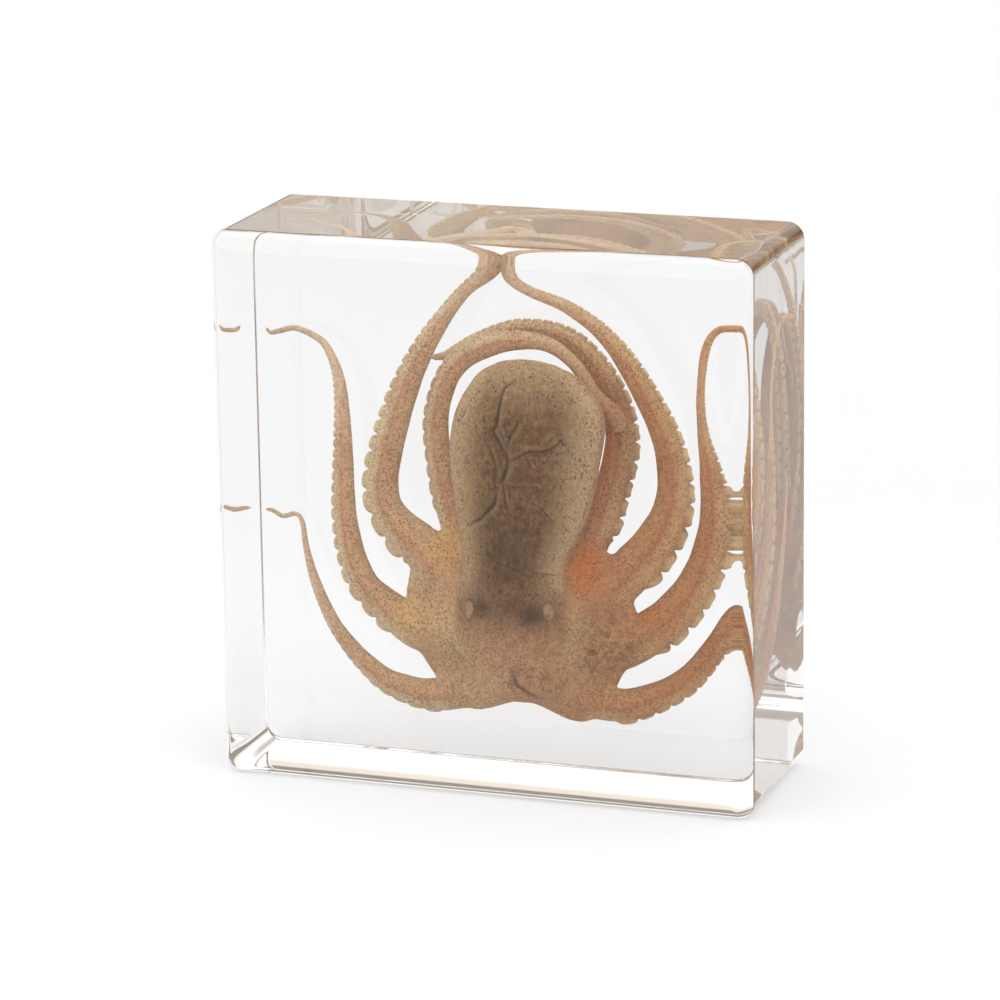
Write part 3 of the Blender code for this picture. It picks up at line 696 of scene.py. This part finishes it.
def block_object():
    """The polished block: a rounded square outline, drawn in along the front and back edges' sections.

    The outline's corner radius is the block's own less the inset, eased to a least radius. The normal at a
    slope is sin(slope) outwards and cos(slope) forwards or backwards, times how fast the outline moves in there.
    """
    inset, deep, slope = front_section()
    turn = np.linspace(math.pi / 2, 0.0, 12)
    y = np.concatenate([deep - BLOCK_SIZE[1] / 2, BLOCK_SIZE[1] / 2 - BACK_RADIUS * (1 - np.cos(turn))])
    inset = np.concatenate([inset, BACK_RADIUS * (1 - np.sin(turn))])[:, None]
    facing = np.concatenate([-np.cos(slope), np.cos(turn)])[:, None]
    outward = np.concatenate([np.sin(slope), np.sin(turn)])[:, None]
    over = CORNER_RADIUS - inset - CORNER_LEAST
    root = np.sqrt(over**2 + CORNER_EASE**2)
    radius = CORNER_LEAST + (over + root) / 2
    narrowing = -(1 + over / root) / 2
    quarter = np.linspace(0.0, math.pi / 2, CORNER_STEPS)
    around = np.concatenate([quarter + math.pi / 2 * corner for corner in range(4)])
    corner_x = np.repeat([1.0, -1.0, -1.0, 1.0], CORNER_STEPS)
    corner_z = np.repeat([1.0, 1.0, -1.0, -1.0], CORNER_STEPS)
    across, up = np.cos(around), np.sin(around)
    x = corner_x * (BLOCK_SIZE[0] / 2 - inset - radius) + radius * across
    z = corner_z * (BLOCK_SIZE[2] / 2 - inset - radius) + radius * up + BLOCK_SIZE[2] / 2
    rings = np.stack([x, np.broadcast_to(y[:, None], x.shape), z], axis=2)
    pace = (1 + narrowing) * (np.abs(across) + np.abs(up)) - narrowing
    normals = np.stack([outward * across, facing * pace, outward * up], axis=2)
    normals /= np.linalg.norm(normals, axis=2)[:, :, None]
    block = tube("clear_block", rings)
    flat = np.vstack([normals.reshape(-1, 3), [[0.0, -1.0, 0.0], [0.0, 1.0, 0.0]]])
    block.data.normals_split_custom_set_from_vertices(flat.tolist())
    return block


class Nodes:
    """A material's or the world's node tree, with short calls to add nodes and join them."""

    def __init__(self, tree):
        self.tree = tree
        self.tree.nodes.clear()

    def add(self, kind, settings=None, **inputs):
        """A node with its settings and its inputs, whose names have _ for a space."""
        node = self.tree.nodes.new(kind)
        for label, value in (settings or {}).items():
            setattr(node, label, value)
        for label, value in inputs.items():
            self.put(node, label.replace("_", " "), value)
        return node

    def put(self, node, label, value):
        """Joins an output to an input, or sets a constant on it. The label is the input's name or number."""
        socket = node.inputs[int(label)] if label.isdigit() else node.inputs[label]
        if isinstance(value, bpy.types.NodeSocket):
            self.tree.links.new(value, socket)
        else:
            socket.default_value = value

    def math(self, operation, a, b):
        node = self.add("ShaderNodeMath", {"operation": operation})
        self.put(node, "0", a)
        self.put(node, "1", b)
        return node.outputs[0]

    def range(self, value, low, high, to_low=0.0, to_high=1.0):
        """Smooth step of a value, from one number to another."""
        ends = {"From_Min": low, "From_Max": high, "To_Min": to_low, "To_Max": to_high}
        kind = {"interpolation_type": "SMOOTHSTEP"}
        return self.add("ShaderNodeMapRange", kind, Value=value, **ends).outputs[0]

    def mix(self, share, a, b, blend="MIX"):
        """Colour a where the share is 0, and colour b where it is 1."""
        node = self.add("ShaderNodeMix", {"data_type": "RGBA", "blend_type": blend})
        self.put(node, "0", share)
        self.put(node, "6", a)
        self.put(node, "7", b)
        return node.outputs[2]

    def times(self, *values):
        """All the values multiplied."""
        product = values[0]
        for value in values[1:]:
            product = self.math("MULTIPLY", product, value)
        return product

    def lay(self, base, shade, *masks):
        """The base with a colour laid over it, as strongly as the masks multiplied say."""
        return self.mix(self.times(*masks), base, colour(*shade))

    def value(self, label):
        """A number that the mesh holds for each point."""
        return self.add("ShaderNodeAttribute", {"attribute_name": label}).outputs["Fac"]

    def noise(self, where, scale, detail=2.0, rough=0.5):
        node = self.add("ShaderNodeTexNoise", None, Vector=where, Scale=scale, Detail=detail, Roughness=rough)
        return node.outputs[0]

    def dots(self, where, scale, size, soft):
        """Round dots, one to a cell."""
        cells = self.add("ShaderNodeTexVoronoi", None, Vector=where, Scale=scale, Randomness=0.85)
        return self.range(cells.outputs["Distance"], size, size - soft)

    def ramp(self, value, stops):
        """Colours read off a ramp of places from 0 to 1, each with its shade."""
        node = self.add("ShaderNodeValToRGB", None, Fac=value)
        elements = node.color_ramp.elements
        for element, (share, shade) in zip(elements, (stops[0], stops[-1])):
            element.position = share
            element.color = colour(*shade)
        for share, shade in stops[1:-1]:
            elements.new(share).color = colour(*shade)
        return node.outputs["Color"]


def colour(red, green, blue):
    """A colour given in display values from 0 to 255, as linear light."""
    shares = np.array([red, green, blue]) / 255
    linear = np.where(shares <= 0.04045, shares / 12.92, ((shares + 0.055) / 1.055) ** 2.4)
    return (*linear.tolist(), 1.0)


def new_material(name):
    made = bpy.data.materials.new(name)
    made.use_nodes = True
    return made, Nodes(made.node_tree)


class Skin:
    """What all parts of the octopus's skin share: where a point is, and the soft patterns laid over it."""

    def __init__(self, nodes):
        self.where = nodes.add("ShaderNodeTexCoord").outputs["Object"]
        self.across = nodes.add("ShaderNodeSeparateXYZ", None, Vector=self.where).outputs["X"]
        # Patterns read from here are twice as long up and down
        upright = nodes.add("ShaderNodeMapping", None, Vector=self.where, Scale=(1.0, 1.0, 0.5))
        self.upright = upright.outputs[0]
        self.blotch = nodes.noise(self.where, 160.0, 3.0)
        self.cloud = nodes.noise(self.where, 420.0, 4.0, 0.6)
        self.grain = nodes.noise(self.where, 2200.0, 3.0, 0.6)
        self.mottle = nodes.noise(self.where, 950.0, 5.0, 0.75)
        folds = nodes.range(nodes.noise(self.where, 1100.0, 4.0, 0.7), 0.42, 0.6)
        self.crumpled = nodes.times(nodes.value("crumple"), folds)


def arm_colour(nodes, skin):
    """Tan from an arm's inner edge to its suckers, blotched, duller on the right, with golden patches."""
    arm = nodes.ramp(nodes.range(nodes.value("side"), -1.0, 1.0), ARM_STOPS)
    arm = nodes.lay(arm, ROSY_TAN, nodes.range(skin.blotch, 0.42, 0.7), 0.7)
    arm = nodes.lay(arm, YELLOW_TAN, nodes.range(skin.cloud, 0.5, 0.75), 0.5)
    # Mottled skin, partly painted: lighter on the mottle's raised bumps as a painted highlight, darker in their
    # pits as painted shade
    arm = nodes.lay(arm, SAND_WITH_PAINTED_HIGHLIGHT, nodes.range(skin.mottle, 0.52, 0.66), 0.45)
    arm = nodes.lay(arm, RUST_WITH_PAINTED_SHADE, nodes.range(skin.mottle, 0.47, 0.34), 0.35)
    arm = nodes.lay(arm, MILKY_TAN, 0.2)
    arm = nodes.lay(arm, PALE_TIP, nodes.value("thin"), 0.8)
    right = nodes.range(skin.across, -4 * MM, 24 * MM, 0.0, 0.85)
    arm = nodes.mix(right, arm, colour(*RIGHT_HAND_DULLING), "MULTIPLY")
    # Painted highlight on the crumples' crests and painted shade in their hollows
    arm = nodes.lay(arm, CRUMPLE_PAINTED_HIGHLIGHT, skin.crumpled, 0.55)
    painted_hollow_shade = nodes.range(nodes.noise(skin.where, 900.0, 5.0, 0.7), 0.50, 0.42)
    arm = nodes.lay(arm, CRUMPLE_PAINTED_SHADE, painted_hollow_shade, nodes.value("crumple"), 0.6)
    arm = nodes.lay(arm, PALE_WEB, nodes.value("pale"), 0.7)
    golden = nodes.mix(nodes.range(skin.across, -4 * MM, 4 * MM), colour(*GOLD), colour(*ORANGE))
    return nodes.mix(nodes.times(nodes.value("glow"), 0.82), arm, golden)


def mantle_colour(nodes, skin):
    """Grey-brown, streaked and mottled, with painted highlight on bumps, shade in pits and a painted rim
    highlight.
    """
    streak = nodes.noise(skin.upright, 1900.0, 4.0, 0.75)
    mantle = nodes.mix(nodes.range(streak, 0.34, 0.66), colour(*MANTLE_LIGHT), colour(*MANTLE_DARK))
    mantle = nodes.lay(mantle, MANTLE_BROWN, nodes.range(skin.blotch, 0.45, 0.7), 0.6)
    mantle = nodes.lay(mantle, MANTLE_STRAW, nodes.range(skin.cloud, 0.5, 0.75), 0.5)
    # Mottled skin, partly painted: darker in the pits as painted shade, lighter on the raised bumps as a painted
    # highlight
    mantle = nodes.lay(mantle, UMBER_WITH_PAINTED_SHADE, nodes.range(skin.mottle, 0.47, 0.33), 0.6)
    mantle = nodes.lay(mantle, BUFF_WITH_PAINTED_HIGHLIGHT, nodes.range(skin.mottle, 0.52, 0.66), 0.45)
    # Painted highlight along the mantle's rim and over its top
    return nodes.lay(mantle, PAINTED_RIM_HIGHLIGHT, nodes.value("rim"), 0.82)


def stippled(nodes, skin, base):
    """A fine stipple of brown dots, fainter at the tips, and clusters of dark specks, most on the mantle."""
    dots = nodes.dots(skin.where, 2700.0, 0.48, 0.24)
    patch = nodes.range(nodes.noise(skin.where, 300.0, 2.0), 0.36, 0.60, 0.45, 1.0)
    tips = nodes.range(nodes.value("thin"), 0.1, 0.9, 1.0, 0.4)
    base = nodes.lay(base, STIPPLE, dots, patch, tips, 0.62)
    specks = nodes.dots(skin.upright, 2300.0, 0.42, 0.24)
    cluster = nodes.range(nodes.noise(skin.where, 620.0, 4.0, 0.65), 0.47, 0.58)
    share = nodes.range(nodes.value("head"), 0.0, 1.0, 0.25, 1.0)
    return nodes.lay(base, SPECK, specks, cluster, share, 0.75)


def with_eyes(nodes, skin, base):
    """The clouded eyes, ragged at their edges, each in a faint dark ring."""
    bulge = nodes.value("eye")
    ragged = nodes.math("ADD", bulge, nodes.range(skin.cloud, 0.35, 0.65, -0.2, 0.2))
    eye = nodes.times(nodes.range(ragged, 0.38, 0.72), nodes.range(bulge, 0.2, 0.3))
    base = nodes.lay(base, EYE_CLOUD, eye, nodes.range(skin.mottle, 0.38, 0.55, 0.15, 0.55))
    ring = nodes.times(nodes.range(ragged, 0.22, 0.4), nodes.math("SUBTRACT", 1.0, eye))
    return nodes.lay(base, EYE_RING, ring, 0.25)


def skin_relief(nodes, skin):
    """Fine relief: soft folds, grain, mottled bumps and the web's crumples."""
    relief = nodes.noise(skin.where, 700.0, 3.0, 0.6)
    for pattern, height in ((skin.grain, 0.5), (skin.crumpled, 0.8), (skin.mottle, 1.2)):
        relief = nodes.math("ADD", relief, nodes.times(pattern, height))
    return nodes.add("ShaderNodeBump", None, Height=relief, Strength=0.9, Distance=0.4 * MM).outputs[0]


def skin_material(name):
    """Preserved octopus skin: tan, with a fine dark stipple, paler at the suckers and greyer on the mantle."""
    made, nodes = new_material(name)
    skin = Skin(nodes)
    base = nodes.mix(nodes.value("head"), arm_colour(nodes, skin), mantle_colour(nodes, skin))
    base = nodes.lay(base, GRAIN_BROWN, nodes.range(skin.grain, 0.46, 0.64), 0.28)
    base = stippled(nodes, skin, base)
    base = nodes.lay(base, SUCKER_CREAM, nodes.value("sucker"), 0.75)
    # Painted shade inside the suckers' cups
    base = nodes.lay(base, CUP_PAINTED_SHADE, nodes.value("cup"), 0.35)
    base = nodes.lay(base, DUSK_BROWN, nodes.value("dusk"), 0.9)
    base = with_eyes(nodes, skin, base)
    # Painted shade in the creases and painted highlight on their lips
    base = nodes.lay(base, CREASE_PAINTED_SHADE, nodes.value("crease"), 0.88)
    base = nodes.lay(base, LIP_PAINTED_HIGHLIGHT, nodes.value("lip"), 0.22)
    shader = nodes.add("ShaderNodeBsdfPrincipled", None, Base_Color=base, Normal=skin_relief(nodes, skin))
    nodes.put(shader, "Roughness", nodes.range(skin.cloud, 0.3, 0.7, 0.5, 0.7))
    nodes.put(shader, "Specular IOR Level", 0.1)
    nodes.put(shader, "Subsurface Weight", 0.4)
    nodes.put(shader, "Subsurface Radius", (1.0, 0.65, 0.35))
    nodes.put(shader, "Subsurface Scale", 0.9 * MM)
    nodes.add("ShaderNodeOutputMaterial", None, Surface=shader.outputs[0])
    return made


def resin_material():
    """Clear polished resin: it bends light and dims it a little over its depth, the blue a trace more."""
    made, nodes = new_material("clear_resin_cast")
    where = nodes.add("ShaderNodeTexCoord").outputs["Object"]
    haze = nodes.noise(where, 60.0, 2.0)
    tint = nodes.mix(haze, *RESIN_TINTS)
    shader = nodes.add("ShaderNodeBsdfPrincipled", None, Base_Color=tint, Roughness=0.0)
    nodes.put(shader, "IOR", RESIN_IOR)
    nodes.put(shader, "Transmission Weight", 1.0)
    depth = nodes.add("ShaderNodeVolumeAbsorption", None, Color=DEPTH_COLOUR, Density=DEPTH_DENSITY)
    nodes.add("ShaderNodeOutputMaterial", None, Surface=shader.outputs[0], Volume=depth.outputs[0])
    return made


def floor_material():
    """Pale light table with a faint tooth. It glows round the block, not far in front, and less behind."""
    made, nodes = new_material("pale_floor")
    where = nodes.add("ShaderNodeTexCoord").outputs["Object"]
    tooth = nodes.noise(where, 40.0, 3.0)
    shade = nodes.mix(tooth, *FLOOR_SHADES)
    shader = nodes.add("ShaderNodeBsdfPrincipled", None, Base_Color=shade, Roughness=0.9)
    nodes.put(shader, "Specular IOR Level", 0.0)
    nodes.put(shader, "Emission Color", FLOOR_LIGHT)
    away = nodes.add("ShaderNodeSeparateXYZ", None, Vector=where).outputs["Y"]
    glow = nodes.range(away, -0.40, -0.20, 0.0, FLOOR_GLOW)
    fade = nodes.range(away, 0.04, 0.16, 0.0, FLOOR_FADE)
    nodes.put(shader, "Emission Strength", nodes.math("SUBTRACT", glow, fade))
    nodes.add("ShaderNodeOutputMaterial", None, Surface=shader.outputs[0])
    return made


def make_camera():
    camera = bpy.data.objects.new("camera", bpy.data.cameras.new("camera"))
    bpy.context.scene.collection.objects.link(camera)
    turned = Matrix((CAMERA_RIGHT, CAMERA_UP, CAMERA_BACK)).transposed().to_4x4()
    camera.matrix_world = Matrix.Translation(CAMERA_PLACE) @ turned
    camera.data.sensor_width = CAMERA_SENSOR
    camera.data.lens = CAMERA_LENS
    camera.data.clip_start = 0.01
    camera.data.clip_end = 50.0
    bpy.context.scene.camera = camera


def make_world():
    """Soft light from all round: a wide pale backdrop behind and beside the block, warmer low down, and large
    soft lights overhead and in front.

    Under the backdrop, and between it and the light overhead, the room is dim, which draws the block's edges.
    """
    world = bpy.data.worlds.new("studio")
    world.use_nodes = True
    nodes = Nodes(world.node_tree)
    way = nodes.add("ShaderNodeTexCoord").outputs["Generated"]
    way = nodes.add("ShaderNodeSeparateXYZ", None, Vector=way)
    height = way.outputs["Z"]
    back = nodes.mix(nodes.range(height, 0.50, 0.42), DIM_WALL, BACKDROP)
    back = nodes.mix(nodes.range(height, 0.27, 0.23), back, WARM_BAND)
    back = nodes.mix(nodes.range(height, 0.19, 0.16), back, DIM_FOOT)
    round_about = nodes.mix(nodes.range(way.outputs["Y"], -0.35, 0.15), FRONT_LIGHT, back)
    everywhere = nodes.mix(nodes.range(height, 0.76, 0.90), round_about, OVERHEAD_LIGHT)
    light = nodes.add("ShaderNodeBackground", None, Color=everywhere, Strength=1.0)
    nodes.add("ShaderNodeOutputWorld", None, Surface=light.outputs[0])
    bpy.context.scene.world = world


def make_floor():
    """A level square sheet, its points on an even grid."""
    line = np.linspace(-FLOOR_REACH, FLOOR_REACH, FLOOR_CELLS + 1)
    x, y = np.meshgrid(line, line, indexing="ij")
    points = np.stack([x.ravel(), y.ravel(), np.full(x.size, -FLOOR_GAP)], axis=1)
    row, column = np.meshgrid(np.arange(FLOOR_CELLS), np.arange(FLOOR_CELLS), indexing="ij")
    corner = (row * (FLOOR_CELLS + 1) + column).ravel()
    beyond = corner + FLOOR_CELLS + 1
    faces = np.stack([corner, beyond, beyond + 1, corner + 1], axis=1)
    floor = new_object("floor", points, faces.tolist())
    floor.data.materials.append(floor_material())


def place(obj, finish, slot, *nodes):
    """A piece's finish, and the nodes that it stands in for, which are hidden. The slot is not used."""
    obj.data.materials.append(finish)
    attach(obj, "root")
    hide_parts(*nodes)


scene = bpy.context.scene
scene.view_settings.view_transform = "Standard"
scene.cycles.glossy_bounces = 12
scene.cycles.transmission_bounces = 16
scene.cycles.max_bounces = 20

make_camera()
make_world()
make_floor()

arms = [Arm(name) for name in ARMS]
arm_finish = skin_material("arm_skin_stippled")
place(body_object(arms), skin_material("mantle_skin_creased"), "mantle_skin", "octopus_body")
for arm in arms:
    place(arm_object(arm), arm_finish, "arm_skin", arm.name)
place(block_object(), resin_material(), "clear_resin", "resin_front", "resin_back")
